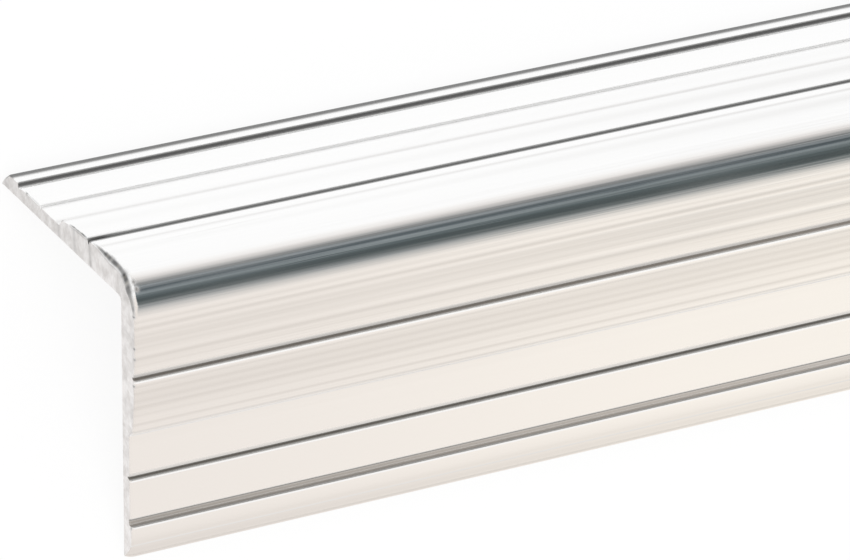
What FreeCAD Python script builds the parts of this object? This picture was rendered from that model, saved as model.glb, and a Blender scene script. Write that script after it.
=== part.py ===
import FreeCAD, Part
import math
import os

# Metal angle section: one straight extruded bar with two equal legs, flat
# inside and profiled outside. It lies on its two free edges with the corner
# up. X runs along the bar, Y across it and Z up from the floor, and the
# origin is under the bar's middle. All sizes are in millimetres.

# Bar and legs
bar_length = 1000.0
leg_width = 30.0          # sharp outer corner to free edge
corner_radius = 4.0       # outside of the corner
inner_radius = 0.6        # inside of the corner

# Wall thickness of each band, from the flat inner face outwards
corner_wall = 2.9         # both faces beside the corner
band_wall = 1.43          # sunk band past the crown
bead_wall = 1.72          # bead along the free edge

# Score lines, two fine V cuts: one before the crown, one along the sunk band
score_distance = 10.1     # sharp outer corner to the bottom of the first
score_width = 0.42
score_depth = 0.4
shoulder_width = 1.5      # slope from the corner face down to the first
shoulder_fall = 0.2

# Crown, a low convex band that ends in a step
crown_width = 5.6
crown_bulge = 0.15        # height of the arc over its chord
step_width = 0.65
step_height = 0.72

# Groove, bead and bevel, counted back from the free edge
bevel_width = 2.05
bead_width = 2.0
bead_round = 1.4          # from the bead's top into the bevel
groove_width = 0.65
groove_floor = 0.5
groove_depth = 0.15
edge_land = 0.15          # blunt land on the free edge

# Each leg leans 45 degrees, so a length along it counts this much in Y and Z
lean = math.sqrt(0.5)
apex_height = (leg_width + corner_wall) * lean


def place(along, depth, side):
    """Section point: along a leg from the sharp corner, depth below its outer face."""
    across = side * (along - depth) * lean
    height = apex_height - (along + depth) * lean
    return FreeCAD.Vector(-bar_length / 2, across, height)


def corner_arc(depth, radius):
    """Arc over the corner, from one leg's face at this depth to the other's."""
    tangent_distance = depth + radius
    start = place(tangent_distance, depth, -1)
    end = place(tangent_distance, depth, 1)
    ridge = place(depth, depth, 1)
    ridge.z -= radius * (math.sqrt(2) - 1)
    return Part.Arc(start, ridge, end).toShape()


def break_arc(corner, radius, turn):
    """Start, middle and end of the arc that rounds a corner where the outline turns down."""
    along, depth = corner
    reach = radius * math.tan(turn / 2)
    start = (along - reach, depth)
    middle = (start[0] + radius * math.sin(turn / 2), depth + radius * (1 - math.cos(turn / 2)))
    end = (along + reach * math.cos(turn), depth + reach * math.sin(turn))
    return start, middle, end


def crown_middle(start, end):
    """Point of the crown over the middle of its chord."""
    run = end[0] - start[0]
    fall = end[1] - start[1]
    chord = math.hypot(run, fall)
    along = (start[0] + end[0]) / 2 + crown_bulge * fall / chord
    depth = (start[1] + end[1]) / 2 - crown_bulge * run / chord
    return along, depth


def score(bottom, depth):
    """The three points of a V cut into a face at this depth."""
    half = score_width / 2
    return [(bottom - half, depth), (bottom, depth + score_depth), (bottom + half, depth)]


def leg_edges(side):
    """Edges of one leg, from the corner round out along its outer face and back inside."""
    band_depth = corner_wall - band_wall
    bead_depth = corner_wall - bead_wall

    # Corner face, shoulder, first score line, crown and step
    first_score = score(score_distance, shoulder_fall)
    crown_start = first_score[-1]
    crown_end = (crown_start[0] + crown_width, band_depth - step_height)
    step_end = crown_end[0] + step_width

    # Groove, bead and bevel
    bevel_start = leg_width - bevel_width
    groove_end = bevel_start - bead_width
    groove_start = groove_end - groove_width
    groove_slope = (groove_width - groove_floor) / 2
    floor_depth = band_depth + groove_depth
    bevel_turn = math.atan2(bead_wall - edge_land, bevel_width)
    bead_start, bead_middle, bead_end = break_arc((bevel_start, bead_depth), bead_round, bevel_turn)

    # A plain pair is the end of a straight edge, a pair of pairs an arc's middle and end
    outline = [
        (corner_radius, 0.0),
        (first_score[0][0] - shoulder_width, 0.0),
        *first_score,
        (crown_middle(crown_start, crown_end), crown_end),
        (step_end, band_depth),
        *score((step_end + groove_start) / 2, band_depth),
        (groove_start, band_depth),
        (groove_start + groove_slope, floor_depth),
        (groove_end - groove_slope, floor_depth),
        (groove_end, bead_depth),
        bead_start,
        (bead_middle, bead_end),
        (leg_width, corner_wall - edge_land),
        (leg_width, corner_wall),
        (corner_wall + inner_radius, corner_wall),
    ]

    edges = []
    last = place(*outline[0], side)
    for target in outline[1:]:
        if isinstance(target[0], tuple):
            middle = place(*target[0], side)
            end = place(*target[1], side)
            edges.append(Part.Arc(last, middle, end).toShape())
        else:
            end = place(*target, side)
            edges.append(Part.makeLine(last, end))
        last = end
    return edges


def angle_section():
    """The section's closed outline, carried straight along the bar."""
    edges = [corner_arc(0.0, corner_radius), corner_arc(corner_wall, inner_radius)]
    edges += leg_edges(1)
    edges += leg_edges(-1)
    outline = Part.Wire(Part.__sortEdges__(edges))
    return Part.Face(outline).extrude(FreeCAD.Vector(bar_length, 0, 0))


os.makedirs("parts", exist_ok=True)
bar = angle_section()
bar.exportStep("parts/angle_section.step")
print("valid", bar.isValid(), "volume", round(bar.Volume), "box", bar.BoundBox)
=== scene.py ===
import math

import bpy
import numpy as np
from mathutils import Matrix, Vector


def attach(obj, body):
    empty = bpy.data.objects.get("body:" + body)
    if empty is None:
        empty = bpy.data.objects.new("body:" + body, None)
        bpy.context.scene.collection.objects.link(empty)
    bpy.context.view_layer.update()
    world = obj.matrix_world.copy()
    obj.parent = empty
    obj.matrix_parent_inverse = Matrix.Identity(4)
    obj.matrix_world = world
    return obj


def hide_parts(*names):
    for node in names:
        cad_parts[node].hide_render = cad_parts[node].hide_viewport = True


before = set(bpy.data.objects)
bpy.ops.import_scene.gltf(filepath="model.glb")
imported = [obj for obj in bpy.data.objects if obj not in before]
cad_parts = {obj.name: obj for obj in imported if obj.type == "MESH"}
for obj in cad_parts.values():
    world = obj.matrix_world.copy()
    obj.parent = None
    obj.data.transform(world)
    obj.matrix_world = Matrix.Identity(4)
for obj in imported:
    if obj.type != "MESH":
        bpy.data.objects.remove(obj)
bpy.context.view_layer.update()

mm = 0.001
white = (1.0, 1.0, 1.0, 1.0)
print("frame loaded with", sorted(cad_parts))

# Section sizes in millimetres, the same as the solid's. Places along a leg count
# from the sharp outer corner, depths from the leg's outer face.
section = {
    "length": 1000.0,
    "leg": 30.0,
    "cornerRadius": 4.03,   # 0.03 over the solid's, which keeps the skin in its box
    "innerRadius": 0.6,
    "cornerWall": 2.9,
    "bandWall": 1.43,
    "beadWall": 1.72,
    "scoreAt": 10.1,
    "scoreWidth": 0.42,
    "scoreDepth": 0.4,
    "scoreShift": (0.045, -0.16),   # how far the lines lie off their places; pairs are front, back leg
    "shoulderWidth": 1.5,
    "shoulderFall": 0.2,
    "crownWidth": 5.6,
    "crownBulge": 0.15,
    "stepWidth": 0.65,
    "stepHeight": 0.72,
    "bevelWidth": 2.05,
    "beadWidth": 2.0,
    "beadRound": 0.6,       # crisper than the solid's 1.4
    "grooveWidth": 0.65,
    "grooveFloor": 0.5,
    "grooveDepth": 0.15,
    "edgeLand": 0.15,
    "lipRound": 0.06,       # what the die leaves on a sharp edge
    "rootRound": 0.04,      # bottom of a score line or groove
    "softRound": 1.6,       # start of the shoulder
    "stepFoot": 0.25,
    "beadLip": 0.12,
    "lipRise": (0.09, 0.07),        # burr along the far edge of each score line and groove
    "lipReach": (0.27, 0.17),
}
lean = math.sqrt(0.5)
apexHeight = (section["leg"] + section["cornerWall"]) * lean
halfLength = section["length"] / 2


# (along, depth) on a leg becomes Y = side (along - depth) lean and
# Z = apex - (along + depth) lean, because each leg leans 45 degrees.
def place(along, depth, side):
    along = np.asarray(along, float)
    depth = np.asarray(depth, float)
    return np.stack([side * (along - depth) * lean, apexHeight - (along + depth) * lean], axis=-1)


# The other way round: the leg that a section point is on, and its place along it
def legPlace(points):
    side = np.where(points[:, 0] < 0, -1.0, 1.0)
    return side, (apexHeight - points[:, 1] + np.abs(points[:, 0])) / lean / 2


# Corners of one leg's outer face from the ridge out to the free edge, as rows of
# along, depth and round. The crown's points are its chord plus the bulge times
# 4 t (1 - t), square to the chord.
def legCorners(side):
    p = section
    pairs = ("scoreShift", "lipRise", "lipReach")
    shift, lipRise, lipReach = [p[name][0 if side < 0 else 1] for name in pairs]
    half = p["scoreWidth"] / 2
    first = p["scoreAt"] + shift
    bandDepth = p["cornerWall"] - p["bandWall"]
    beadDepth = p["cornerWall"] - p["beadWall"]
    fall = p["shoulderFall"]
    scoreEnd = first + half
    crownEnd = p["scoreAt"] + half + p["crownWidth"]
    crownEndDepth = bandDepth - p["stepHeight"]
    stepEnd = crownEnd + p["stepWidth"]
    bevelStart = p["leg"] - p["bevelWidth"]
    grooveEnd = bevelStart - p["beadWidth"]
    grooveStart = grooveEnd - p["grooveWidth"]
    slope = (p["grooveWidth"] - p["grooveFloor"]) / 2
    second = (stepEnd + grooveStart) / 2 + shift
    share = np.linspace(0, 1, skin["crownSteps"] + 1)[1:-1]
    chord = np.array([crownEnd - scoreEnd, crownEndDepth - fall])
    rise = np.array([chord[1], -chord[0]]) / np.linalg.norm(chord)
    crown = np.array([scoreEnd, fall]) + share[:, None] * chord
    crown = crown + p["crownBulge"] * (4 * share * (1 - share))[:, None] * rise
    crown = np.column_stack([crown, np.zeros(len(share))])
    corner = [
        (first - half - p["shoulderWidth"], 0.0, p["softRound"]),
        (first - half, fall, p["lipRound"]),
        (first, fall + p["scoreDepth"], p["rootRound"]),
        (scoreEnd, fall - lipRise, p["lipRound"]),
        (scoreEnd + lipReach, fall, p["lipRound"]),
    ]
    edge = [
        (crownEnd, crownEndDepth, p["beadLip"]),
        (stepEnd, bandDepth, p["stepFoot"]),
        (second - half, bandDepth, p["lipRound"]),
        (second, bandDepth + p["scoreDepth"], p["rootRound"]),
        (second + half, bandDepth - lipRise, p["lipRound"]),
        (second + half + lipReach, bandDepth, p["lipRound"]),
        (grooveStart, bandDepth, p["lipRound"]),
        (grooveStart + slope, bandDepth + p["grooveDepth"], p["rootRound"]),
        (grooveEnd - slope, bandDepth + p["grooveDepth"], p["rootRound"]),
        (grooveEnd, beadDepth - lipRise, p["lipRound"]),
        (grooveEnd + lipReach, beadDepth, p["beadLip"]),
        (bevelStart, beadDepth, p["beadRound"]),
        (p["leg"], p["cornerWall"] - p["edgeLand"], p["lipRound"]),
        (p["leg"], p["cornerWall"] - p["edgeLand"] / 2, 0.0),
    ]
    return np.vstack([corner, crown, edge])


# Rounds all corners of a path at once. A round starts radius tan(turn / 2) before
# its corner, and a point part way round lies radius sin(angle) further on and
# radius (1 - cos(angle)) to the side that the path turns to.
def roundedPath(corners, radii, arcPoints=41):
    runs = np.diff(corners, axis=0)
    ways = runs / np.linalg.norm(runs, axis=1, keepdims=True)
    wayIn = np.vstack([ways[:1], ways])
    wayOut = np.vstack([ways, ways[-1:]])
    cross = wayIn[:, 0] * wayOut[:, 1] - wayIn[:, 1] * wayOut[:, 0]
    turn = np.arctan2(cross, (wayIn * wayOut).sum(axis=1))
    sideways = np.stack([-wayIn[:, 1], wayIn[:, 0]], axis=1) * np.sign(turn)[:, None]
    start = corners - wayIn * (radii * np.tan(np.abs(turn) / 2))[:, None]
    angle = (np.abs(turn)[:, None] * np.linspace(0, 1, arcPoints))[..., None]
    onward = np.sin(angle) * wayIn[:, None, :]
    inward = (1 - np.cos(angle)) * sideways[:, None, :]
    path = start[:, None, :] + radii[:, None, None] * (onward + inward)
    return path.reshape(-1, 2)


# Distance run along a path up to each of its points
def runLength(path):
    return np.concatenate([[0.0], np.cumsum(np.linalg.norm(np.diff(path, axis=0), axis=1))])


# Points at equal steps of length / spacing + turning / turnStep, so that they
# crowd together where the outline bends and where the spacing is fine.
def evenPath(path):
    gaps = np.linalg.norm(np.diff(path, axis=0), axis=1)
    path = path[np.concatenate([[True], gaps > skin["leastGap"]])]
    runs = np.diff(path, axis=0)
    along = legPlace((path[1:] + path[:-1]) / 2)[1]
    spacing = np.where(along < skin["fineTo"], skin["fineSpacing"], skin["spacing"])
    heading = np.unwrap(np.arctan2(runs[:, 1], runs[:, 0]))
    turning = np.abs(np.diff(heading)) / math.radians(skin["turnStep"])
    steps = np.linalg.norm(runs, axis=1) / spacing
    steps[:-1] += turning / 2
    steps[1:] += turning / 2
    measure = np.concatenate([[0.0], np.cumsum(steps)])
    wanted = np.linspace(0, measure[-1], int(math.ceil(measure[-1])) + 1)
    return np.stack([np.interp(wanted, measure, path[:, axis]) for axis in (0, 1)], axis=1)


# The dressed bar's mesh, and how its cuts are filed, worn and knocked; all in mm
skin = {
    "spacing": 0.2,         # step along the outline
    "fineSpacing": 0.1,     # step near the corner and over the crown
    "fineTo": 16.6,
    "turnStep": 9.0,        # degrees of turn worth one step
    "leastGap": 1e-7,       # path points closer than this are one
    "crownSteps": 14,
    "matching": (0.97, 0.03),       # inner points by the outer's spread, and by even steps
    "capRows": [0, 0.04, 0.1, 0.2, 0.35, 0.5, 0.65, 0.8, 0.92, 1],   # shares of the wall
    "stations": [0, 0.05, 0.12, 0.2, 0.3, 0.42, 0.56, 0.72, 0.9, 1.1, 1.5, 2.5, 4, 7, 12, 20, 32,
                 50, 75, 110, 160, 230, 320, 410],
    "deburrWidth": 0.16,    # filed edge round the cut faces, along the bar
    "deburrDepth": 0.06,
    "ridgeWidth": 0.5,      # more comes off over the corner
    "ridgeDepth": 0.46,
    "ridgeShift": 2.2,
    "ridgeSpread": 4.8,
    "waveKnots": 130,       # random waves round the outline, their size and what they change
    "waveSize": 0.25,
    "waveShares": (0.6, 0.45),      # of the width and of the depth
    "leastFiled": (0.05, 0.015),    # width and depth
    "filedPower": 1.5,
    "knock": (-0.3, 0.9, 0.24),     # a knock over the ridge: by way from it, half width, depth
    "innerDeburr": (0.06, 0.1),     # depth and width
    "thinWall": (0.12, 0.4),        # no filing up to this wall thickness, all of it this much over that
    "tipFrom": 28.6,        # the free edge's own corner is knocked back too
    "tipWear": 0.3,
    "tipWidth": 1.1,
    "nicks": [3.8, 7.0, 8.1, 10.9, 26.1],   # along the front leg's cut edge
    "nickWidth": 0.13,
    "nickGain": 0.1,        # how much wider the filed edge is there
    "nickDepth": 0.12,
    "mapOffset": 1.5,       # keeps the cut faces clear of the sides on the UV map
    "sharpAngle": 38.0,
    "seed": 41,
}


# Outer and inner outlines with matching points. A point's spread is its way over
# the surface from the ridge; the inner point has the same share of its own way.
def sectionOutlines():
    frontRows = legCorners(-1)[::-1]
    backRows = legCorners(1)
    front = place(frontRows[:, 0], frontRows[:, 1], -1)
    back = place(backRows[:, 0], backRows[:, 1], 1)
    ridge = place([0.0], [0.0], 1)
    radii = np.concatenate([frontRows[:, 2], [section["cornerRadius"]], backRows[:, 2]])
    outer = evenPath(roundedPath(np.vstack([front, ridge, back]), radii))
    wall = section["cornerWall"]
    innerCorners = np.vstack([
        place([section["leg"]], [wall], -1),
        place([wall], [wall], 1),
        place([section["leg"]], [wall], 1),
    ])
    innerPath = roundedPath(innerCorners, np.array([0.0, section["innerRadius"], 0.0]))
    side, along = legPlace(outer)
    radius = section["cornerRadius"]
    angle = np.arctan2(np.abs(outer[:, 0]), outer[:, 1] - (apexHeight - 2 * radius * lean))
    quarter = radius * math.pi / 4
    spread = side * np.where(along < radius, radius * angle, quarter + along - radius)
    outerEnd = quarter + section["leg"] - radius
    innerQuarter = section["innerRadius"] * math.pi / 4
    innerEnd = innerQuarter + section["leg"] - wall - section["innerRadius"]
    run = runLength(outer)
    even = (2 * run / run[-1] - 1) * outerEnd
    bySpread, byStep = skin["matching"]
    matched = np.interp(bySpread * spread + byStep * even,
                        [-outerEnd, -quarter, quarter, outerEnd],
                        [-innerEnd, -innerQuarter, innerQuarter, innerEnd])
    innerRun = runLength(innerPath)
    innerRun = innerRun - innerRun[-1] / 2
    inner = np.stack([np.interp(matched, innerRun, innerPath[:, axis]) for axis in (0, 1)], axis=1)
    return outer, inner, side, along, spread


# How far the cut edge is filed back: an even width with slow random waves, more
# over the ridge, with nicks as small bells on the front leg and a knock at the ridge.
def deburr(side, along, spread, random):
    s = skin
    knots = np.linspace(spread[0], spread[-1], s["waveKnots"])
    wave = np.interp(spread, knots, random.normal(0.0, s["waveSize"], s["waveKnots"]))
    ridge = np.exp(-((spread - s["ridgeShift"]) / s["ridgeSpread"]) ** 4)
    width = s["deburrWidth"] + (s["ridgeWidth"] - s["deburrWidth"]) * ridge
    depth = s["deburrDepth"] + (s["ridgeDepth"] - s["deburrDepth"]) * ridge
    nicks = np.exp(-((along[:, None] - np.array(s["nicks"])) / s["nickWidth"]) ** 2).sum(axis=1)
    nicks = nicks * (side < 0)
    knockAt, knockWidth, knockDepth = s["knock"]
    knock = np.exp(-((spread - knockAt) / knockWidth) ** 2)
    widthWave, depthWave = s["waveShares"]
    width = width * (1 + widthWave * wave) + s["nickGain"] * nicks
    depth = depth * (1 + depthWave * wave) + s["nickDepth"] * nicks + knockDepth * knock
    leastWidth, leastDepth = s["leastFiled"]
    return np.maximum(width, leastWidth), np.maximum(depth, leastDepth)


# What is left at x from the cut of wear that ends at its width: (1 - x / width)^power
def wearLeft(fromEnd, width, power):
    return np.clip(1 - fromEnd / width, 0, 1) ** power


# Grid of stations by loop points. Near each end the outer ring moves towards the
# inner one by depth (1 - x / width)^1.5 and the inner ring a little towards the
# outer, which files the edge. Both free edges draw back along their leg by wear
# (1 - x / width)^2 t^2, where t runs from 0 to 1 over the last part of the leg.
# The cut faces fill the two end rings.
def skinMesh():
    outer, inner, side, along, spread = sectionOutlines()
    random = np.random.default_rng(skin["seed"])
    fromEnd = np.array(skin["stations"] + [halfLength], float)
    across = inner - outer
    wall = np.linalg.norm(across, axis=1, keepdims=True)
    towards = across / wall
    legWay = np.stack([side * lean, np.full(len(side), -lean)], axis=1)
    tipShare = np.clip((along - skin["tipFrom"]) / (section["leg"] - skin["tipFrom"]), 0, 1)
    drawn = skin["tipWear"] * wearLeft(fromEnd[:, None], skin["tipWidth"], 2) * tipShare ** 2
    drawnBack = drawn[..., None] * legWay
    innerDepth, innerWidth = skin["innerDeburr"]
    leastWall, fadeOver = skin["thinWall"]
    fade = np.clip((wall[:, 0] - leastWall) / fadeOver, 0, 1)
    rings = []
    filedWidths = []
    for end in range(2):
        width, depth = deburr(side, along, spread, random)
        filedWidths.append(width)
        filed = depth * wearLeft(fromEnd[:, None], width, skin["filedPower"])
        inside = innerDepth * wearLeft(fromEnd, innerWidth, skin["filedPower"])
        rings.append((outer - drawnBack + (filed * fade)[..., None] * towards,
                      inner - drawnBack - (inside[:, None] * fade)[..., None] * towards))
    outerRings = np.concatenate([rings[0][0], rings[1][0][-2::-1]])
    innerRings = np.concatenate([rings[0][1], rings[1][1][-2::-1]])
    stations = np.concatenate([fromEnd - halfLength, (halfLength - fromEnd)[-2::-1]])
    capShare = np.array(skin["capRows"])
    rows = len(capShare) - 1
    share = capShare[1:-1, None]
    backLand = outerRings[:, -1:] + share * (innerRings[:, -1:] - outerRings[:, -1:])
    frontLand = outerRings[:, :1] + share[::-1] * (innerRings[:, :1] - outerRings[:, :1])
    loop = np.concatenate([outerRings, backLand, innerRings[:, ::-1], frontLand], axis=1)
    stationCount, loopCount = loop.shape[:2]
    count = len(outer)
    x = np.broadcast_to(stations[:, None, None], (stationCount, loopCount, 1))
    sides = np.concatenate([x, loop], axis=2).reshape(-1, 3)

    # Cut faces: rows from the outer to the inner outline, borders shared with the sides
    capPoints = []
    capIndex = []
    for end, station in enumerate((0, stationCount - 1)):
        reach = innerRings[station] - outerRings[station]
        grid = outerRings[station] + capShare[:, None, None] * reach
        inside = grid[1:-1, 1:-1].reshape(-1, 2)
        xs = np.full((len(inside), 1), stations[station])
        capPoints.append(np.hstack([xs, inside]))
        index = np.zeros((rows + 1, count), int)
        first = station * loopCount
        index[0] = first + np.arange(count)
        index[1:-1, -1] = first + count + np.arange(rows - 1)
        index[-1] = first + count + rows - 1 + np.arange(count)[::-1]
        index[1:-1, 0] = first + 2 * count + rows - 1 + np.arange(rows - 1)[::-1]
        new = len(sides) + end * len(inside) + np.arange(len(inside))
        index[1:-1, 1:-1] = new.reshape(rows - 1, count - 2)
        capIndex.append(index)
    points = np.vstack([sides] + capPoints)

    ids = np.arange(stationCount * loopCount).reshape(stationCount, loopCount)
    ids = np.hstack([ids, ids[:, :1]])
    sideFaces = np.stack([ids[:-1, :-1], ids[1:, :-1], ids[1:, 1:], ids[:-1, 1:]], axis=-1)
    near, far = capIndex
    nearFaces = np.stack([near[:-1, :-1], near[:-1, 1:], near[1:, 1:], near[1:, :-1]], axis=-1)
    farFaces = np.stack([far[:-1, :-1], far[1:, :-1], far[1:, 1:], far[:-1, 1:]], axis=-1)
    faces = np.vstack([sideFaces.reshape(-1, 4), nearFaces.reshape(-1, 4), farFaces.reshape(-1, 4)])
    firstCapFace = (stationCount - 1) * loopCount

    # The UV map counts u along the bar in metres and v round the loop in decimetres
    closed = np.vstack([loop[stationCount // 2], loop[stationCount // 2, :1]])
    way = runLength(closed) / 100
    way = way - way[count // 2]
    u = stations / 1000 + 0.5
    sideUv = np.zeros((stationCount - 1, loopCount, 4, 2))
    sideUv[..., (0, 3), 0] = u[:-1, None, None]
    sideUv[..., (1, 2), 0] = u[1:, None, None]
    sideUv[..., (0, 1), 1] = way[None, :-1, None]
    sideUv[..., (2, 3), 1] = way[None, 1:, None]
    capUv = points[faces[firstCapFace:]][..., 1:] / 100 + skin["mapOffset"]
    uv = np.vstack([sideUv.reshape(-1, 2), capUv.reshape(-1, 2)])
    cutFaces = np.zeros(len(faces), int)
    cutFaces[firstCapFace:] = 1
    layout = {
        "side": side, "along": along, "spread": spread, "wall": wall[:, 0], "outer": outer,
        "stations": stations, "loop": loopCount, "capShare": capShare, "filed": filedWidths,
        "random": random,
    }
    return points, faces, uv, cutFaces, layout


# Marks that run along the bar. Soil and painted shade sit in a spot of the section: leg (-1
# front, 1 back), along, depth, radius, amount, a tone from 0, black, to 1, pale dust, and
# how much paler it gets further along. Bands lie across a leg: leg, along, half
# width, strength. A growth is the strength at the near end, what is added further
# on, and over what length.
marks = {
    "soilAndShade": [
        # Most spots are painted shade in the score lines, the groove and along the bevel's lower edge;
        # the pale ones at 20.68 and 25.58 are dust
        (-1, 10.26, 0.4, 0.26, 0.97, 0.25, 0.14), (-1, 9.88, 0.19, 0.27, 0.6, 0.25, 0.05),
        (-1, 21.1, 1.67, 0.25, 0.985, 0.15, 0.0), (-1, 20.74, 1.46, 0.25, 0.48, 0.34, 0.03),
        (-1, 25.64, 1.62, 0.24, 0.96, 0.39, 0.14), (-1, 25.89, 1.45, 0.24, 0.95, 0.38, 0.155),
        (-1, 25.36, 1.55, 0.14, 0.95, 0.12, 0.0), (-1, 25.93, 1.25, 0.09, 0.7, 0.22, 0.06),
        (-1, 29.55, 2.42, 0.25, 0.06, 0.3, 0.0),
        (1, 10.04, 0.4, 0.3, 0.88, 0.1, -0.05), (1, 9.62, 0.19, 0.24, 0.82, 0.1, -0.03),
        (1, 20.68, 1.6, 0.37, 0.96, 0.82, 0.0), (1, 25.9, 1.49, 0.16, 0.99, 0.1, 0.0),
        (1, 25.93, 1.3, 0.15, 0.99, 0.1, 0.0), (1, 25.58, 1.68, 0.27, 0.9, 1.0, 0.0),
        # The two spots on the back leg's bead shoulder are a painted dark reflection
        (1, 27.57, 1.2, 0.5, 0.86, 0.1, 0.0), (1, 28.08, 1.3, 0.42, 0.88, 0.1, 0.0),
    ],
    "paleOver": 80.0,                   # length over which the soil and painted shade get paler
    # Dull bands are mostly painted shade where the metal's reflection runs darker, on the front bevel
    # too; the band at 27.99 paints down the highlight on the bead's round
    "dullAndShade": [
        (-1, 1.5, 0.1, 0.85), (-1, 6.3, 1.0, 0.31), (-1, 8.45, 0.35, 0.17), (-1, 12.2, 1.8, 0.4),
        (-1, 13.2, 0.5, 0.4), (-1, 15.93, 0.17, 0.85), (-1, 16.25, 0.25, 0.35), (-1, 16.45, 0.13, 0.6),
        (-1, 27.7, 0.5, 0.42), (-1, 27.99, 0.22, 0.7), (-1, 28.9, 1.5, 0.64), (-1, 29.6, 0.25, 0.95),
        (1, 1.22, 0.09, 0.6), (1, 6.2, 0.6, 0.12), (1, 13.0, 0.9, 0.12),
    ],
    "dullAndShadeGrowth": (0.75, 0.5, 120.0),
    # Polished bands clear the dull bands and fine lines: a painted highlight along the lips of the score
    # lines and groove and on stripes near the corner, partly burnished lips
    "polishedHighlight": [
        (-1, 4.65, 0.2, 0.5), (-1, 5.33, 0.18, 0.9), (-1, 7.55, 0.25, 0.9), (-1, 10.55, 0.28, 2.5),
        (-1, 21.27, 0.15, 2.5), (-1, 26.15, 0.2, 2.5),
    ],
    "polishedHighlightGrowth": (0.4, 0.6, 70.0),
    # Bands on the back leg that darken more away from the near end
    "farDimming": [(1, 6.2, 1.0, 0.3), (1, 12.8, 1.2, 0.3), (1, 14.5, 0.6, 0.15), (1, 19.0, 1.2, 0.1)],
    "farDimmingGrowth": (-0.6, 1.7, 80.0),
    "dieLines": [
        (-1, 3.5, 0.25, 0.3), (-1, 4.32, 0.13, 0.35), (-1, 4.98, 0.17, 0.85), (-1, 5.68, 0.17, 0.35),
        (-1, 6.22, 0.2, 0.3), (-1, 6.98, 0.2, 0.4), (-1, 8.03, 0.2, 0.85), (-1, 8.77, 0.15, 0.2),
        (-1, 10.96, 0.14, 0.6), (-1, 11.68, 0.18, 0.5), (-1, 12.47, 0.2, 0.55), (-1, 13.18, 0.2, 0.55),
        (-1, 14.08, 0.2, 0.4), (-1, 15.06, 0.18, 0.7), (-1, 26.02, 0.1, 0.35),
        (1, 7.87, 0.25, 0.75), (1, 15.67, 0.35, 1.1), (1, 17.1, 0.35, 1.1),
    ],
    "dieLinesGrowth": (0.55, 0.45, 80.0),
    # Strength of the fine lines by way from the ridge, the front leg's counted below 0
    "lineShare": [(-32.0, 0.3), (-27.0, 0.07), (-17.0, 0.07), (-15.5, 0.5), (-9.6, 0.62), (-8.4, 0.9),
                  (-3.5, 0.92), (-1.0, 0.8), (2.5, 0.35), (5.0, 0.12), (32.0, 0.12)],
    "lineGrowth": (0.6, 0.4, 70.0),
    "innerLines": 0.7,                  # strength of the fine lines inside
    "rimBands": [
        (-1, 1.4, 2.4, 0.9), (-1, 15.0, 14.0, 0.12), (1, 4.2, 4.3, 1.0), (1, 12.2, 1.9, 0.95),
        (1, 22.4, 1.7, 0.28), (1, 24.0, 0.3, 0.8), (1, 28.2, 0.7, 1.0),
    ],
    "rimPower": 6,                      # how squarely a rim band ends
    "nickRim": (0.16, 0.9),             # half width and strength of the dark rim at a nick
    "rimPlace": [(-1.0, 0.15), (2.0, 0.42)],   # by way from the ridge, in shares of the filed width
    "rimWidth": 0.36,
    "rimReach": 0.12,                   # width of the dark rim on the cut face, mm
    "innerRim": (0.3, 0.12),            # amount and reach of the grey inner rim
    "speckKnots": 150,                  # the rim's random specks, their strength and tone
    "speck": (0.75, 1.0),
    "speckTone": (0.0, 0.2),
    "mottle": 0.12,                     # most random soil on a cut face
    # Spots by each cut: leg, along, from the cut, radius across and along, amount, tone
    "edgeSpots": [
        (1, 1.5, 0.66, 0.2, 0.16, 0.95, 0.2), (-1, 1.4, 0.72, 0.22, 0.2, 0.95, 0.2),
        (1, 2.45, 0.2, 0.5, 0.25, 1.0, 0.0), (1, 28.8, 0.05, 0.3, 0.3, 0.85, 0.1),
        (1, 15.9, 0.05, 0.16, 0.16, 0.6, 0.1), (1, 10.0, 1.1, 0.36, 3.6, 1.0, 0.0),
    ],
    "sawSmears": [
        (-1, 1.8, 0.9, 0.14), (-1, 6.2, 0.3, 0.1), (1, 2.2, 1.3, 0.14), (1, 9.85, 0.3, 0.3),
        (1, 13.3, 0.35, 0.25), (1, 16.8, 0.3, 0.25), (1, 23.0, 4.5, 0.07), (1, 28.8, 0.7, 0.16),
    ],
}


# The strongest band at every outline point, each exp(-|offset / half width|^power)
def bands(rows, side, along, power=2):
    rows = np.array(rows)
    bell = np.exp(-np.abs((along[:, None] - rows[:, 1]) / rows[:, 2]) ** power)
    return (bell * rows[:, 3] * (rows[:, 0] == side[:, None])).max(axis=1)


# A growth's factors as a column by station, never below 0
def growth(name, stations):
    start, added, over = marks[name]
    factor = start + added * np.clip((stations + halfLength) / over, 0, 1)
    return np.maximum(factor, 0)[:, None]


# Bands whose strength changes along the bar, held between 0 and 1
def grownBands(name, layout):
    across = bands(marks[name], layout["side"], layout["along"])
    return np.clip(growth(name + "Growth", layout["stations"]) * across, 0, 1)


# Amount of the soil and painted shade by outline point, and its tone by station and
# point: every spot fades as exp(-(distance / radius)^4), and the strongest one gives the tone.
def shadeAndSoilSpots(layout):
    rows = np.array(marks["soilAndShade"])
    farShare = np.clip((layout["stations"] + halfLength) / marks["paleOver"], 0, 1)
    depth = layout["along"] - np.abs(layout["outer"][:, 0]) / lean
    distance = np.hypot(layout["along"][:, None] - rows[:, 1], depth[:, None] - rows[:, 2])
    spots = np.exp(-(distance / rows[:, 3]) ** 4) * rows[:, 4] * (rows[:, 0] == layout["side"][:, None])
    strongest = spots.argmax(axis=1)
    return spots.max(axis=1), rows[strongest, 5] + farShare[:, None] * rows[strongest, 6]


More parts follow.
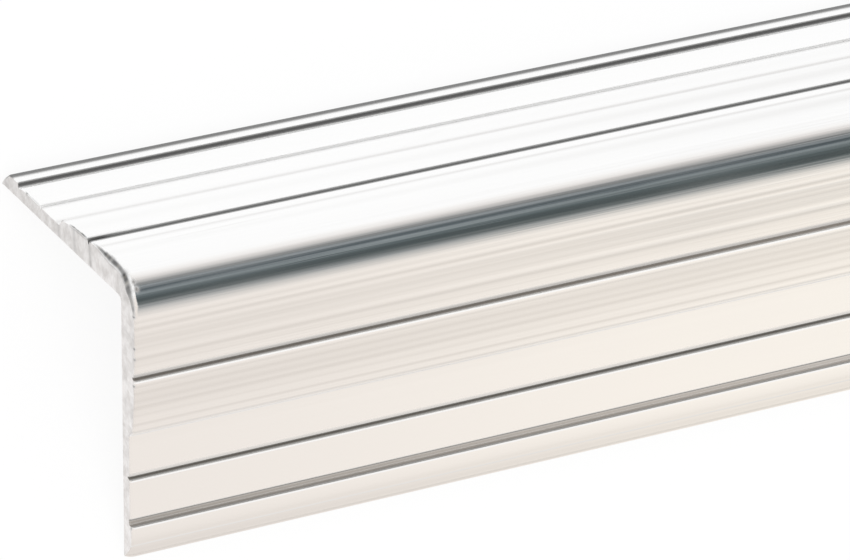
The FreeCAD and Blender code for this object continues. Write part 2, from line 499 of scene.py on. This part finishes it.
# Values for every vertex: the side grid repeats the outline's marks and darkens
# towards each cut, and the cut faces carry a specked rim and the saw's smears.
def skinMarks(layout, pointCount):
    side, along, spread = layout["side"], layout["along"], layout["spread"]
    stations, loopCount, count = layout["stations"], layout["loop"], len(side)
    grids = {name: np.zeros((len(stations), loopCount)) for name in ("soilAndShade", "soilAndShadeTone", "dullAndShade")}
    grids["lines"] = np.full((len(stations), loopCount), marks["innerLines"])
    soilAndShade, tone = grids["soilAndShade"][:, :count], grids["soilAndShadeTone"][:, :count]
    # Painted shade in the score lines and groove, with some dust
    soilAndShade[:], tone[:] = shadeAndSoilSpots(layout)
    # Polished bands: a painted highlight along the lips, partly burnished lips
    outsideHighlight = 1 - grownBands("polishedHighlight", layout)
    # Dull bands: mostly painted shade where the metal's reflection runs darker
    broad = grownBands("dullAndShade", layout) * outsideHighlight
    clear = (1 - broad) * (1 - grownBands("farDimming", layout)) * (1 - grownBands("dieLines", layout))
    grids["dullAndShade"][:, :count] = 1 - clear
    share = np.interp(spread, *np.array(marks["lineShare"]).T)
    grids["lines"][:, :count] = growth("lineGrowth", stations) * share * outsideHighlight

    nicks = [(-1, at, *marks["nickRim"]) for at in skin["nicks"]]
    rim = np.maximum(bands(marks["rimBands"], side, along, marks["rimPower"]), bands(nicks, side, along))
    smears = bands(marks["sawSmears"], side, along)
    spots = np.array(marks["edgeSpots"])
    rimPlace = np.interp(spread, *np.array(marks["rimPlace"]).T)
    capShare = layout["capShare"][1:-1, None]
    rimAmount, rimReach = marks["innerRim"]
    inward = capShare * layout["wall"] / marks["rimReach"]
    outward = (1 - capShare) * layout["wall"] / rimReach
    capSoils = []
    capTones = []
    for end in range(2):
        knots = np.linspace(spread[0], spread[-1], marks["speckKnots"])
        specks = [np.interp(spread, knots, layout["random"].uniform(*marks[name], marks["speckKnots"]))
                  for name in ("speck", "speckTone")]
        fromEnd = stations + halfLength if end == 0 else halfLength - stations
        wayIn = fromEnd[:, None] / layout["filed"][end]
        near = np.exp(-((wayIn - rimPlace) / marks["rimWidth"]) ** 4)
        away = np.hypot((along[None, :, None] - spots[:, 1]) / spots[:, 3],
                        (fromEnd[:, None, None] - spots[:, 2]) / spots[:, 4])
        spotted = np.exp(-away ** 2) * spots[:, 5] * (spots[:, 0] == side[:, None])
        for added, addedTone in ((near * rim * specks[0], specks[1]),
                                 (spotted.max(axis=2), spots[spotted.argmax(axis=2), 6])):
            tone[:] = np.where(added > soilAndShade, addedTone, tone)
            soilAndShade[:] = np.maximum(soilAndShade, added)
        mottle = layout["random"].uniform(0.0, marks["mottle"], (len(capShare), count))
        capSoil = np.maximum(rim * specks[0] * np.exp(-inward ** 2), smears + mottle)
        capSoil = np.maximum(capSoil, rimAmount * np.exp(-outward ** 2))
        capSoils.append(capSoil[:, 1:-1].ravel())
        capTones.append(np.broadcast_to(specks[1], capSoil.shape)[:, 1:-1].ravel())
    capCount = pointCount - len(stations) * loopCount
    caps = {"soilAndShade": capSoils, "soilAndShadeTone": capTones, "dullAndShade": [np.zeros(capCount)],
            "lines": [np.ones(capCount)]}
    return {name: np.concatenate([grid.ravel(), *caps[name]]) for name, grid in grids.items()}


def buildSkin():
    points, faces, uv, cutFaces, layout = skinMesh()
    mesh = bpy.data.meshes.new("angleSkin")
    mesh.from_pydata((points * mm).tolist(), [], faces.tolist())
    mesh.polygons.foreach_set("material_index", cutFaces)
    mesh.polygons.foreach_set("use_smooth", np.ones(len(faces), bool))
    mesh.uv_layers.new(name="skin").data.foreach_set("uv", uv.astype(np.float32).ravel())
    for name, values in skinMarks(layout, len(points)).items():
        attribute = mesh.attributes.new(name, "FLOAT", "POINT")
        attribute.data.foreach_set("value", values.astype(np.float32))
    mesh.update()
    mesh.set_sharp_from_angle(angle=math.radians(skin["sharpAngle"]))
    mesh.validate()
    piece = bpy.data.objects.new("angle_skin", mesh)
    bpy.context.scene.collection.objects.link(piece)
    print("skin has", len(faces) * 2, "triangles")
    return piece


# Small helpers for node trees. A node's inputs are given by name or number, each
# as a value or as another node's output.
def addNode(tree, kind, settings=None, inputs=None):
    node = tree.nodes.new(kind)
    for name, value in (settings or {}).items():
        setattr(node, name, value)
    for name, value in (inputs or {}).items():
        if isinstance(value, bpy.types.NodeSocket):
            tree.links.new(value, node.inputs[name])
        else:
            node.inputs[name].default_value = value
    return node


def mathNode(tree, operation, first, second=None, clamp=False):
    inputs = {0: first}
    if second is not None:
        inputs[1] = second
    settings = {"operation": operation, "use_clamp": clamp}
    return addNode(tree, "ShaderNodeMath", settings, inputs).outputs[0]


def smoothStep(tree, value, low, high, lowOut=0.0, highOut=1.0):
    settings = {"interpolation_type": "SMOOTHSTEP"}
    inputs = {"Value": value, "From Min": low, "From Max": high, "To Min": lowOut, "To Max": highOut}
    return addNode(tree, "ShaderNodeMapRange", settings, inputs).outputs["Result"]


# Rises from 0 to 1 over the first two edges and falls again over the last two
def smoothWindow(tree, value, edges):
    rise = smoothStep(tree, value, *edges[:2])
    fall = smoothStep(tree, value, *edges[2:], 1.0, 0.0)
    return mathNode(tree, "MULTIPLY", rise, fall)


def noise(tree, place, scale, detail, roughness):
    inputs = {"Vector": place, "Scale": scale, "Detail": detail, "Roughness": roughness}
    return addNode(tree, "ShaderNodeTexNoise", {}, inputs).outputs["Fac"]


def vertexValue(tree, name):
    return addNode(tree, "ShaderNodeAttribute", {"attribute_name": name}).outputs["Fac"]


def mixColour(tree, factor, first, second, blend="MIX"):
    settings = {"data_type": "RGBA", "blend_type": blend}
    return addNode(tree, "ShaderNodeMix", settings, {0: factor, 6: first, 7: second}).outputs[2]


# A ramp over stops of place, red, green and blue
def colourRamp(tree, place, stops):
    ramp = addNode(tree, "ShaderNodeValToRGB", {}, {0: place})
    elements = ramp.color_ramp.elements
    while len(elements) < len(stops):
        elements.new(1.0)
    for element, stop in zip(elements, stops):
        element.position = stop[0]
        element.color = (*stop[1:], 1.0)
    return ramp.outputs[0]


def newGroup(name, inputs, outputs):
    tree = bpy.data.node_groups.new(name, "ShaderNodeTree")
    for label, kind, value in inputs:
        socket = tree.interface.new_socket(label, in_out="INPUT", socket_type=kind)
        if value is not None:
            socket.default_value = value
    for label, kind in outputs:
        tree.interface.new_socket(label, in_out="OUTPUT", socket_type=kind)
    return tree, tree.nodes.new("NodeGroupInput").outputs, tree.nodes.new("NodeGroupOutput").inputs


lineWork = {
    "coarse": (1.0, 3.0, 0.6),      # each layer's scale, detail and roughness
    "fine": (1.0, 2.0, 0.7),
    "tone": (0.3, 0.7),             # noise from the darkest tone to the brightest
    "scores": (0.6, 0.74),          # noise from no score to a full one
    "scoreDepth": 0.25,
}


# Fine parallel lines, as a die or a saw leaves them: noise stretched far along
# one axis, a coarse and a fine layer. The fine layer's peaks are sparse scores.
def makeLineGroup():
    inputs = [
        ("Vector", "NodeSocketVector", None),
        ("Coarse Scale", "NodeSocketVector", (1.0, 1.0, 1.0)),
        ("Fine Scale", "NodeSocketVector", (1.0, 1.0, 1.0)),
        ("Fine Share", "NodeSocketFloat", 0.5),
    ]
    outputs = [("Tone", "NodeSocketFloat"), ("Scores", "NodeSocketFloat"), ("Height", "NodeSocketFloat")]
    tree, given, result = newGroup("parallelLines", inputs, outputs)
    coarse, fine = [
        noise(tree, addNode(tree, "ShaderNodeVectorMath", {"operation": "MULTIPLY"},
                            {0: given["Vector"], 1: given[scale]}).outputs[0], *lineWork[layer])
        for layer, scale in (("coarse", "Coarse Scale"), ("fine", "Fine Scale"))
    ]
    difference = mathNode(tree, "SUBTRACT", fine, coarse)
    mixed = mathNode(tree, "ADD", coarse, mathNode(tree, "MULTIPLY", difference, given["Fine Share"]))
    scores = smoothStep(tree, fine, *lineWork["scores"])
    sunk = mathNode(tree, "MULTIPLY", scores, lineWork["scoreDepth"])
    tree.links.new(smoothStep(tree, mixed, *lineWork["tone"]), result["Tone"])
    tree.links.new(scores, result["Scores"])
    tree.links.new(mathNode(tree, "SUBTRACT", mixed, sunk), result["Height"])
    return tree


handling = {
    "patchScale": 30.0,
    "patchNoise": (3.0, 0.5),       # detail and roughness
    "patches": (0.35, 0.7),         # noise from no patch to a full one
    "scratchScale": 90.0,
    "scratchNoise": (1.0, 0.5),
    "scratchTurn": (0.3, 0.5, 0.9),
    "scratchStretch": (0.05, 1.0, 1.0),
    "scratchWidth": 0.006,          # a scratch runs where the noise passes its middle, 0.5
    "scratched": (0.55, 0.7),       # patch noise over which the scratches set in
}


# Handling: a few faint scratches across the work and dull patches between them
def makeWearGroup():
    h = handling
    inputs = [
        ("Vector", "NodeSocketVector", None),
        ("Patch Scale", "NodeSocketFloat", h["patchScale"]),
        ("Scratch Scale", "NodeSocketFloat", h["scratchScale"]),
    ]
    outputs = [("Patches", "NodeSocketFloat"), ("Scratches", "NodeSocketFloat")]
    tree, given, result = newGroup("handlingWear", inputs, outputs)
    patches = noise(tree, given["Vector"], given["Patch Scale"], *h["patchNoise"])
    turned = addNode(tree, "ShaderNodeMapping", {}, {
        "Vector": given["Vector"], "Rotation": h["scratchTurn"], "Scale": h["scratchStretch"]}).outputs[0]
    cells = noise(tree, turned, given["Scratch Scale"], *h["scratchNoise"])
    offset = mathNode(tree, "ABSOLUTE", mathNode(tree, "SUBTRACT", cells, 0.5))
    thin = smoothStep(tree, offset, 0.0, h["scratchWidth"], 1.0, 0.0)
    here = smoothStep(tree, patches, *h["scratched"])
    tree.links.new(smoothStep(tree, patches, *h["patches"]), result["Patches"])
    tree.links.new(mathNode(tree, "MULTIPLY", thin, here), result["Scratches"])
    return tree


def newMaterial(name):
    material = bpy.data.materials.new(name)
    material.use_nodes = True
    material.node_tree.nodes.clear()
    return material, material.node_tree


def newMetal(name):
    material, tree = newMaterial(name)
    shader = addNode(tree, "ShaderNodeBsdfPrincipled")
    addNode(tree, "ShaderNodeOutputMaterial", {}, {"Surface": shader.outputs[0]})
    return material, tree, shader


# Tones of the soil and of the painted shade in the score lines and groove, black to pale dust
soilAndShadeColours = {
    "tones": [(0.0, 0.028, 0.027, 0.026), (0.1, 0.08, 0.08, 0.079), (0.15, 0.1, 0.088, 0.07),
              (0.2, 0.125, 0.112, 0.098), (0.3, 0.17, 0.15, 0.13), (0.5, 0.4, 0.36, 0.32),
              (0.75, 0.66, 0.655, 0.65), (1.0, 0.96, 0.96, 0.96)],
    "roughness": 0.6,
    "shine": 0.15,
}


# Soil and painted shade over a metal: their colour, and how far they hide the metal
def addSoilAndShade(tree, shader, colour, roughness):
    # The dark tones paint the shade in the score lines and groove
    soilAndShade = vertexValue(tree, "soilAndShade")
    dirt = colourRamp(tree, vertexValue(tree, "soilAndShadeTone"), soilAndShadeColours["tones"])
    tree.links.new(mixColour(tree, soilAndShade, colour, dirt), shader.inputs["Base Color"])
    tree.links.new(mathNode(tree, "SUBTRACT", 1.0, soilAndShade, clamp=True), shader.inputs["Metallic"])
    rest = mathNode(tree, "SUBTRACT", soilAndShadeColours["roughness"], roughness)
    mixed = mathNode(tree, "ADD", roughness, mathNode(tree, "MULTIPLY", soilAndShade, rest))
    tree.links.new(mixed, shader.inputs["Roughness"])
    shader.inputs["Specular IOR Level"].default_value = soilAndShadeColours["shine"]


def addLineGroup(tree, lines, place, finish):
    return addNode(tree, "ShaderNodeGroup", {"node_tree": lines}, {
        "Vector": place, "Coarse Scale": finish["coarseScale"], "Fine Scale": finish["fineScale"],
        "Fine Share": finish["fineShare"]}).outputs


def addBump(tree, shader, height, distance):
    bump = addNode(tree, "ShaderNodeBump", {}, {"Strength": 1.0, "Distance": distance, "Height": height})
    tree.links.new(bump.outputs["Normal"], shader.inputs["Normal"])


millFinish = {
    "bright": (0.997, 0.997, 0.996, 1.0),
    "streak": (0.82, 0.81, 0.8, 1.0),
    # dull: the colour of scores, scratches and of the painted shade in the dull bands
    "dullAndShade": (0.73, 0.72, 0.71, 1.0),
    "roughness": (0.12, 0.24),
    "roughShares": (0.5, 0.4),           # what streaks and worn patches add to it
    "coarseScale": (6.0, 110.0, 1.0),    # noise cells per metre along, per decimetre across
    "fineScale": (22.0, 360.0, 1.0),
    "fineShare": 0.5,
    "streakAmount": 0.8,
    "scoreAmount": 0.4,
    "lineHeight": 0.00003,
    "scratches": 0.25,
}


def makeMillMaterial(lines, wear):
    m = millFinish
    material, tree, shader = newMetal("millAluminium")
    uv = addNode(tree, "ShaderNodeUVMap", {"uv_map": "skin"}).outputs[0]
    objectPlace = addNode(tree, "ShaderNodeTexCoord").outputs["Object"]
    drawn = addLineGroup(tree, lines, uv, m)
    worn = addNode(tree, "ShaderNodeGroup", {"node_tree": wear}, {"Vector": objectPlace}).outputs
    share = vertexValue(tree, "lines")
    streaks = mathNode(tree, "SUBTRACT", 1.0, drawn["Tone"])
    streaks = mathNode(tree, "MULTIPLY", streaks, m["streakAmount"])
    streaks = mathNode(tree, "MULTIPLY", streaks, share)
    colour = mixColour(tree, streaks, m["bright"], m["streak"])
    scored = mathNode(tree, "MULTIPLY", drawn["Scores"], m["scoreAmount"])
    scored = mathNode(tree, "MULTIPLY", scored, share)
    scratched = mathNode(tree, "MULTIPLY", worn["Scratches"], m["scratches"])
    # The dull colour carries the painted shade of the dull bands as well as scores and scratches
    for amount in (scored, vertexValue(tree, "dullAndShade"), scratched):
        colour = mixColour(tree, amount, colour, m["dullAndShade"])
    rough = mathNode(tree, "ADD", *[
        mathNode(tree, "MULTIPLY", cause, added)
        for cause, added in zip((streaks, worn["Patches"]), m["roughShares"])
    ])
    addSoilAndShade(tree, shader, colour, smoothStep(tree, rough, 0.0, 1.0, *m["roughness"]))
    addBump(tree, shader, mathNode(tree, "MULTIPLY", drawn["Height"], share), m["lineHeight"])
    return material


sawnFinish = {
    "bright": (1.0, 0.98, 0.97, 1.0),
    "mark": (0.87, 0.84, 0.83, 1.0),
    "patchAndShade": (0.62, 0.61, 0.6, 1.0),
    "coarseScale": (0.0, 900.0, 500.0),
    "fineScale": (0.0, 2600.0, 1900.0),
    "fineShare": 0.6,
    "turn": (math.radians(38.0), 0.0, 0.0),
    "roughness": (0.36, 0.55),
    "markHeight": 0.00002,
    "shadedSide": (-0.022, 0.022, 0.0, 0.3),       # Y over which it is painted greyer, a painted shade towards the back leg, from and to how much
    "patchSide": (-0.022, -0.011, 0.1, 0.4),     # the same for dull patches
    "patchScale": 800.0,
}


def makeSawnMaterial(lines, wear):
    m = sawnFinish
    material, tree, shader = newMetal("sawnAluminium")
    objectPlace = addNode(tree, "ShaderNodeTexCoord").outputs["Object"]
    across = addNode(tree, "ShaderNodeSeparateXYZ", {}, {0: objectPlace}).outputs["Y"]
    turned = addNode(tree, "ShaderNodeMapping", {}, {"Vector": objectPlace, "Rotation": m["turn"]})
    sawn = addLineGroup(tree, lines, turned.outputs[0], m)
    patches = addNode(tree, "ShaderNodeGroup", {"node_tree": wear},
                      {"Vector": objectPlace, "Patch Scale": m["patchScale"]}).outputs["Patches"]
    colour = mixColour(tree, sawn["Tone"], m["mark"], m["bright"])
    # Painted shade: the cut face turns greyer towards the back leg's side
    colour = mixColour(tree, smoothStep(tree, across, *m["shadedSide"]), colour, m["patchAndShade"])
    patched = mathNode(tree, "MULTIPLY", patches, smoothStep(tree, across, *m["patchSide"]))
    colour = mixColour(tree, patched, colour, m["patchAndShade"])
    addSoilAndShade(tree, shader, colour, smoothStep(tree, patches, 0.0, 1.0, *m["roughness"]))
    addBump(tree, shader, sawn["Height"], m["markHeight"])
    return material


piece = buildSkin()
lineGroup = makeLineGroup()
wearGroup = makeWearGroup()
piece.data.materials.append(makeMillMaterial(lineGroup, wearGroup))
piece.data.materials.append(makeSawnMaterial(lineGroup, wearGroup))
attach(piece, "root")
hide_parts("angle_section")
print("skin and its two materials made")

# The studio: a wide pale floor, a soft lamp, and a room that only the metal sees,
# cream low in front, a dark ceiling opening overhead and white elsewhere.
studio = {
    "floorSize": 60.0,
    "floorColour": (0.86, 0.86, 0.86, 1.0),
    "floorGlow": 0.86,
    "roomLight": 0.85,
    "lampPower": 60.0,
    "lampSize": 2.5,
    "lampPlace": (-1.4, -1.6, 2.6),
}


def showsBackground(tree):
    path = addNode(tree, "ShaderNodeLightPath")
    seen = mathNode(tree, "ADD", path.outputs["Is Camera Ray"], path.outputs["Is Glossy Ray"])
    return mathNode(tree, "ADD", seen, path.outputs["Is Transmission Ray"], clamp=True), path


# Ends a node tree in a mix of two shaders
def mixedOutput(tree, kind, factor, first, second):
    inputs = {0: factor, 1: first.outputs[0], 2: second.outputs[0]}
    mix = addNode(tree, "ShaderNodeMixShader", {}, inputs)
    addNode(tree, kind, {}, {"Surface": mix.outputs[0]})


def makeFloor():
    half = studio["floorSize"] / 2
    corners = [(-half, -half, 0), (half, -half, 0), (half, half, 0), (-half, half, 0)]
    mesh = bpy.data.meshes.new("studioFloor")
    mesh.from_pydata(corners, [], [(0, 1, 2, 3)])
    floor = bpy.data.objects.new("studio_floor", mesh)
    bpy.context.scene.collection.objects.link(floor)
    material, tree = newMaterial("paleFloor")
    diffuse = addNode(tree, "ShaderNodeBsdfDiffuse", {}, {"Color": studio["floorColour"]})
    glow = addNode(tree, "ShaderNodeEmission", {}, {"Color": white, "Strength": 1.0})
    glowing = mathNode(tree, "MULTIPLY", showsBackground(tree)[0], studio["floorGlow"])
    mixedOutput(tree, "ShaderNodeOutputMaterial", glowing, diffuse, glow)
    mesh.materials.append(material)
    floor.visible_glossy = False      # the metal sees the room's own white floor instead


# Reflected room by direction. Angle counts up from the front horizon over the top
# to 180 at the back and down to -180, and the side part is the direction's X.
room = {
    "creamDim": (0.85, 0.795, 0.75, 1.0),
    "creamBright": (1.0, 0.94, 0.858, 1.0),
    "brightenAt": (0.35, 0.5),        # side part over which the cream brightens
    "creamRange": (-103.0, -82.0, 60.0, 110.0),
    "whiteStrip": (-40.0, -30.0, -21.0, -12.0),   # low in front, what the lips catch
    "ceiling": [(22.0, 1.0, 1.0, 1.0), (30.0, 0.93, 0.94, 0.95), (38.0, 0.8, 0.82, 0.84),
                (45.0, 0.55, 0.59, 0.62), (52.0, 0.27, 0.31, 0.34), (60.0, 0.12, 0.15, 0.16),
                (69.0, 0.055, 0.075, 0.085), (78.0, 0.115, 0.15, 0.165), (86.0, 0.29, 0.335, 0.36),
                (91.0, 0.085, 0.11, 0.125), (95.0, 0.085, 0.11, 0.125), (102.0, 0.31, 0.335, 0.35),
                (107.0, 0.13, 0.145, 0.15), (115.0, 0.4, 0.4, 0.395), (124.0, 0.7, 0.67, 0.65),
                (132.0, 0.885, 0.862, 0.843), (141.0, 0.965, 0.952, 0.938), (150.0, 1.0, 1.0, 1.0)],
    "ceilingSide": (-0.15, 0.1, 0.58, 0.74),
    "frontShift": 100.0,              # degrees per side part by which its front edge comes lower
    "shiftSide": (0.37, 0.53),        # side part where that starts, and where it stops growing
    "shiftFade": (50.0, 85.0),        # angles over which it fades out
    # Two steps of contrast by side part, from, to, low, high, that add up to a power
    "ceilingPower": [(0.375, 0.392, 1.0, 0.93), (0.405, 0.46, 0.0, 0.13)],
}


def makeRoom():
    world = bpy.data.worlds.new("studioRoom")
    bpy.context.scene.world = world
    world.use_nodes = True
    tree = world.node_tree
    tree.nodes.clear()
    direction = addNode(tree, "ShaderNodeTexCoord").outputs["Generated"]
    parts = addNode(tree, "ShaderNodeSeparateXYZ", {}, {0: direction}).outputs
    sidePart = parts["X"]
    forward = mathNode(tree, "MULTIPLY", parts["Y"], -1.0)
    angle = mathNode(tree, "DEGREES", mathNode(tree, "ARCTAN2", parts["Z"], forward))

    # Walls and floor, cream in front but for the strip
    brighten = smoothStep(tree, sidePart, *room["brightenAt"])
    cream = mixColour(tree, brighten, room["creamDim"], room["creamBright"])
    besideStrip = mathNode(tree, "SUBTRACT", 1.0, smoothWindow(tree, angle, room["whiteStrip"]))
    creamShare = mathNode(tree, "MULTIPLY", smoothWindow(tree, angle, room["creamRange"]), besideStrip)
    wall = mixColour(tree, creamShare, white, cream)

    # Ceiling opening: shades by the shifted angle, with the contrast by side part
    shiftFrom, shiftTo = room["shiftSide"]
    past = mathNode(tree, "SUBTRACT", mathNode(tree, "MINIMUM", sidePart, shiftTo), shiftFrom)
    moved = mathNode(tree, "MULTIPLY", past, room["frontShift"])
    moved = mathNode(tree, "MULTIPLY", moved, smoothStep(tree, angle, *room["shiftFade"], 1.0, 0.0))
    shifted = mathNode(tree, "ADD", angle, moved)
    stops = room["ceiling"]
    low, high = stops[0][0], stops[-1][0]
    place = mathNode(tree, "DIVIDE", mathNode(tree, "SUBTRACT", shifted, low), high - low, clamp=True)
    shades = colourRamp(tree, place, [((stop[0] - low) / (high - low), *stop[1:]) for stop in stops])
    power = mathNode(tree, "ADD", *[smoothStep(tree, sidePart, *step) for step in room["ceilingPower"]])
    shades = addNode(tree, "ShaderNodeGamma", {}, {"Color": shades, "Gamma": power}).outputs[0]
    opening = mixColour(tree, smoothWindow(tree, sidePart, room["ceilingSide"]), white, shades)

    # Mirrored rays see the room, the camera sees white, and the rest is plain light
    seen = mixColour(tree, 1.0, wall, opening, "MULTIPLY")
    shown, path = showsBackground(tree)
    picture = mixColour(tree, path.outputs["Is Camera Ray"], seen, white)
    plain = addNode(tree, "ShaderNodeBackground", {}, {"Color": white, "Strength": studio["roomLight"]})
    pictured = addNode(tree, "ShaderNodeBackground", {}, {"Color": picture, "Strength": 1.0})
    mixedOutput(tree, "ShaderNodeOutputWorld", shown, plain, pictured)


def makeLamp():
    lamp = bpy.data.lights.new("softLamp", "AREA")
    lamp.energy = studio["lampPower"]
    lamp.shape = "SQUARE"
    lamp.size = studio["lampSize"]
    holder = bpy.data.objects.new("softLamp", lamp)
    holder.location = studio["lampPlace"]
    holder.rotation_euler = (-Vector(studio["lampPlace"])).to_track_quat("-Z", "Y").to_euler()
    holder.visible_glossy = False
    bpy.context.scene.collection.objects.link(holder)


# The photograph's pose has one leg level, so its camera is set there and then
# turned with the bar, 45 degrees about X, onto the floor.
photoCamera = {
    "lens": 266.47,
    "sensor": 36.0,
    "azimuth": 27.42,
    "elevation": 26.205,
    "roll": 0.62,
    "distance": 584.56,
    "aimFromEnd": 29.7,
    "aimBelowCorner": 6.3,
    "poseTurn": -45.0,
    "clip": (0.01, 200.0),
}


def makeCamera():
    p = photoCamera
    azimuth = math.radians(p["azimuth"])
    elevation = math.radians(p["elevation"])
    turn = Matrix.Rotation(math.radians(p["poseTurn"]), 3, "X")
    flat = Vector((math.sin(azimuth), math.cos(azimuth), 0))
    forward = flat * math.cos(elevation) - Vector((0, 0, math.sin(elevation)))
    right = Vector((math.cos(azimuth), -math.sin(azimuth), 0))
    upward = right.cross(forward)
    roll = Matrix.Rotation(math.radians(p["roll"]), 3, "Z")
    axes = Matrix((right, upward, -forward)).transposed() @ roll
    aim = Vector((p["aimFromEnd"], 0, -p["aimBelowCorner"]))
    spot = turn @ (aim - forward * p["distance"]) + Vector((-halfLength, 0, apexHeight))
    camera = bpy.data.cameras.new("photoCamera")
    camera.lens = p["lens"]
    camera.sensor_width = p["sensor"]
    camera.clip_start, camera.clip_end = p["clip"]
    holder = bpy.data.objects.new("photoCamera", camera)
    holder.matrix_world = Matrix.Translation(spot * mm) @ (turn @ axes).to_4x4()
    bpy.context.scene.collection.objects.link(holder)
    bpy.context.scene.camera = holder


makeFloor()
makeRoom()
makeLamp()
makeCamera()
bpy.context.scene.view_settings.view_transform = "Standard"
print("studio and camera made")
